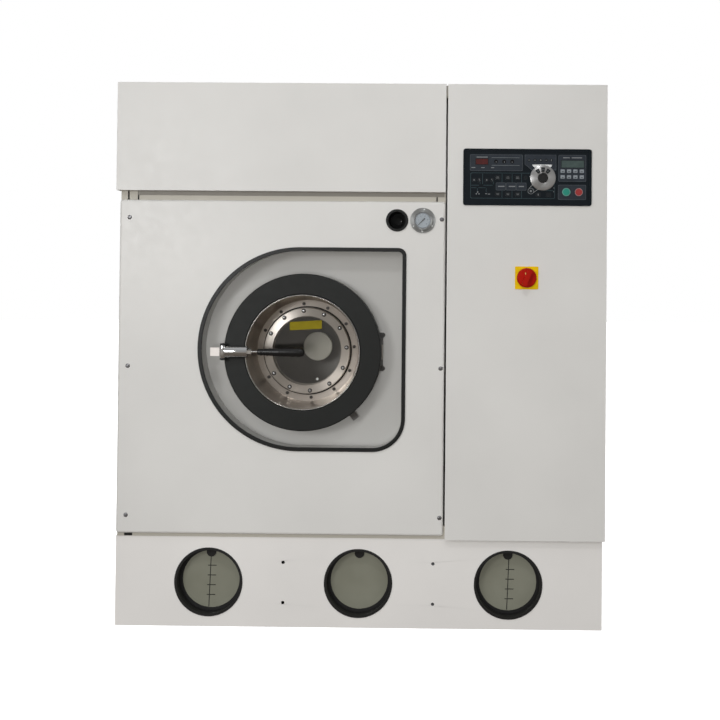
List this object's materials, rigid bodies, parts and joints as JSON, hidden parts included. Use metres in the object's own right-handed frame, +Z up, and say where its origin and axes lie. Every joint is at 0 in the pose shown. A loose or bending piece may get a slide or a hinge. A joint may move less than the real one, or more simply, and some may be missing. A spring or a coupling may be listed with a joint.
{
  "type": "dry cleaning machine",
  "caption": "Upright dry cleaning machine with a round glazed loading door in a D-shaped recess, sight windows in the base, a pressure gauge and a control column.",
  "frame": {"origin": "centre of the bounding box footprint, on the floor", "axes": "+Z up, +Y towards the rear (the front with the door faces -Y), +X to the right seen from the front"},
  "size_m": [1.65, 1.25, 1.83],
  "materials": {
    "base_frame": "satin dark grey paint",
    "base_cover": "fine textured light paint",
    "tank_block": "welded stainless sheet",
    "machine_frame": "beige grey paint",
    "front_panel": "fine textured light paint",
    "panel_trim": "black rubber profile",
    "recess_pan": "light grey paint",
    "hood_cover": "fine textured light paint",
    "column_cover": "fine textured light paint",
    "left_cover": "fine textured light paint",
    "rear_cover": "light paint",
    "panel_screws": "polished",
    "sight_rings": "black edging",
    "sight_glasses": "olive tinted sight glass",
    "control_panel": "dark printed film",
    "keypad": "soft keys",
    "start_button": "green cap",
    "stop_button": "red cap",
    "gauge_case": "stainless case",
    "gauge_needle": "black pointer",
    "gauge_glass": "clear",
    "regulator_cup": "black cup",
    "regulator_knob": "dark knob",
    "isolator_plate": "yellow",
    "isolator_knob": "red",
    "door_ring": "satin black paint",
    "door_dish": "polished stainless",
    "clamp_ring": "brushed stainless",
    "door_glass": "clear toughened glass",
    "door_bolts": "blackened",
    "clamp_screws": "stainless",
    "door_seal": "dark seal",
    "hinge_bracket": "zinc plated bracket and pin",
    "striker_tab": "zinc plated tab",
    "latch_bracket": "black lugs and steel pin",
    "latch_barrel": "chromed barrel and nose",
    "latch_grip": "black grip",
    "tub": "grey blue paint",
    "tub_collar": "grey blue paint",
    "drum": "stainless drum",
    "drum_shaft": "satin hub cap and shaft",
    "bearing_housing": "painted casting",
    "shaft_bearings": "ground races",
    "drum_pulley": "machined casting",
    "drive_belt": "black belt",
    "drive_motor": "blue paint",
    "motor_pulley": "machined casting",
    "fan_housing": "grey blue paint",
    "fan_wheel": "plated wheel",
    "fan_motor": "blue paint",
    "heat_exchanger": "galvanised sheet",
    "button_trap": "stainless box",
    "trap_lid": "stainless lid",
    "still": "stainless shell",
    "condenser": "stainless shell and pipe",
    "filter_vessel": "stainless shell",
    "solvent_pump": "blue paint",
    "compressor": "black paint",
    "electrical_box": "grey sheet",
    "service_stubs": "brass ends"
  },
  "bodies": {
    "machine": {"base_frame": "base_frame", "base_cover": "base_cover", "tank_block": "tank_block", "machine_frame": "machine_frame", "front_panel": "front_panel", "panel_trim": "panel_trim", "recess_pan": "recess_pan", "hood_cover": "hood_cover", "column_cover": "column_cover", "left_cover": "left_cover", "rear_cover": "rear_cover", "panel_screws": "panel_screws", "sight_rings": "sight_rings", "sight_glasses": "sight_glasses", "control_panel": "control_panel", "keypad": "keypad", "gauge_case": "gauge_case", "gauge_glass": "gauge_glass", "regulator_cup": "regulator_cup", "isolator_plate": "isolator_plate", "hinge_bracket": "hinge_bracket", "tub": "tub", "tub_collar": "tub_collar", "bearing_housing": "bearing_housing", "shaft_bearings": "shaft_bearings", "drive_belt": "drive_belt", "drive_motor": "drive_motor", "fan_housing": "fan_housing", "fan_motor": "fan_motor", "heat_exchanger": "heat_exchanger", "button_trap": "button_trap", "still": "still", "condenser": "condenser", "filter_vessel": "filter_vessel", "solvent_pump": "solvent_pump", "compressor": "compressor", "electrical_box": "electrical_box", "service_stubs": "service_stubs"},
    "door": {"door_ring": "door_ring", "door_dish": "door_dish", "clamp_ring": "clamp_ring", "door_glass": "door_glass", "door_bolts": "door_bolts", "clamp_screws": "clamp_screws", "door_seal": "door_seal", "striker_tab": "striker_tab", "latch_bracket": "latch_bracket"},
    "latch": {"latch_barrel": "latch_barrel", "latch_grip": "latch_grip"},
    "isolator": {"isolator_knob": "isolator_knob"},
    "regulator": {"regulator_knob": "regulator_knob"},
    "needle": {"gauge_needle": "gauge_needle"},
    "start": {"start_button": "start_button"},
    "stop": {"stop_button": "stop_button"},
    "drum_set": {"drum": "drum", "drum_shaft": "drum_shaft", "drum_pulley": "drum_pulley"},
    "motor_rotor": {"motor_pulley": "motor_pulley"},
    "fan": {"fan_wheel": "fan_wheel"},
    "lid": {"trap_lid": "trap_lid"}
  },
  "joints": [
    {"name": "door_hinge", "type": "hinge", "parent": "machine", "child": "door", "pos_m": [0.063, -0.519, 0.923], "axis": [0, 0, 1], "range_deg": [0, 95]},
    {"name": "latch_lever", "type": "hinge", "parent": "door", "child": "latch", "pos_m": [-0.457, -0.594, 0.925], "axis": [0, 0, -1], "range_deg": [0, 50]},
    {"name": "isolator_turn", "type": "hinge", "parent": "machine", "child": "isolator", "pos_m": [0.5575, -0.6, 1.18], "axis": [0, 1, 0], "range_deg": [-22, 68]},
    {"name": "regulator_turn", "type": "hinge", "parent": "machine", "child": "regulator", "pos_m": [0.1215, -0.5, 1.37], "axis": [0, 1, 0], "range_deg": [-360, 360]},
    {"name": "needle_sweep", "type": "hinge", "parent": "machine", "child": "needle", "pos_m": [0.208, -0.581, 1.37], "axis": [0, 1, 0], "range_deg": [0, 270], "stiffness_Nm_per_rad": 0.001},
    {"name": "start_press", "type": "slide", "parent": "machine", "child": "start", "axis": [0, 1, 0], "range_m": [0, 0.002], "stiffness_N_per_m": 800},
    {"name": "stop_press", "type": "slide", "parent": "machine", "child": "stop", "axis": [0, 1, 0], "range_m": [0, 0.002], "stiffness_N_per_m": 800},
    {"name": "drum_spin", "type": "hinge", "parent": "machine", "child": "drum_set", "pos_m": [-0.194, -0.3, 0.923], "axis": [0, 1, 0], "continuous": true},
    {"name": "motor_spin", "type": "hinge", "parent": "machine", "child": "motor_rotor", "pos_m": [0.02, 0.086, 0.56], "axis": [0, 1, 0], "continuous": true},
    {"name": "fan_spin", "type": "hinge", "parent": "machine", "child": "fan", "pos_m": [-0.06, -0.29, 1.615], "axis": [1, 0, 0], "continuous": true},
    {"name": "lid_hinge", "type": "hinge", "parent": "machine", "child": "lid", "pos_m": [-0.769, -0.3, 0.593], "axis": [0, -1, 0], "range_deg": [0, 75]}
  ],
  "couplings": [
    {"joint": "motor_spin", "follows": "drum_spin", "ratio": 3.2396}
  ]
}
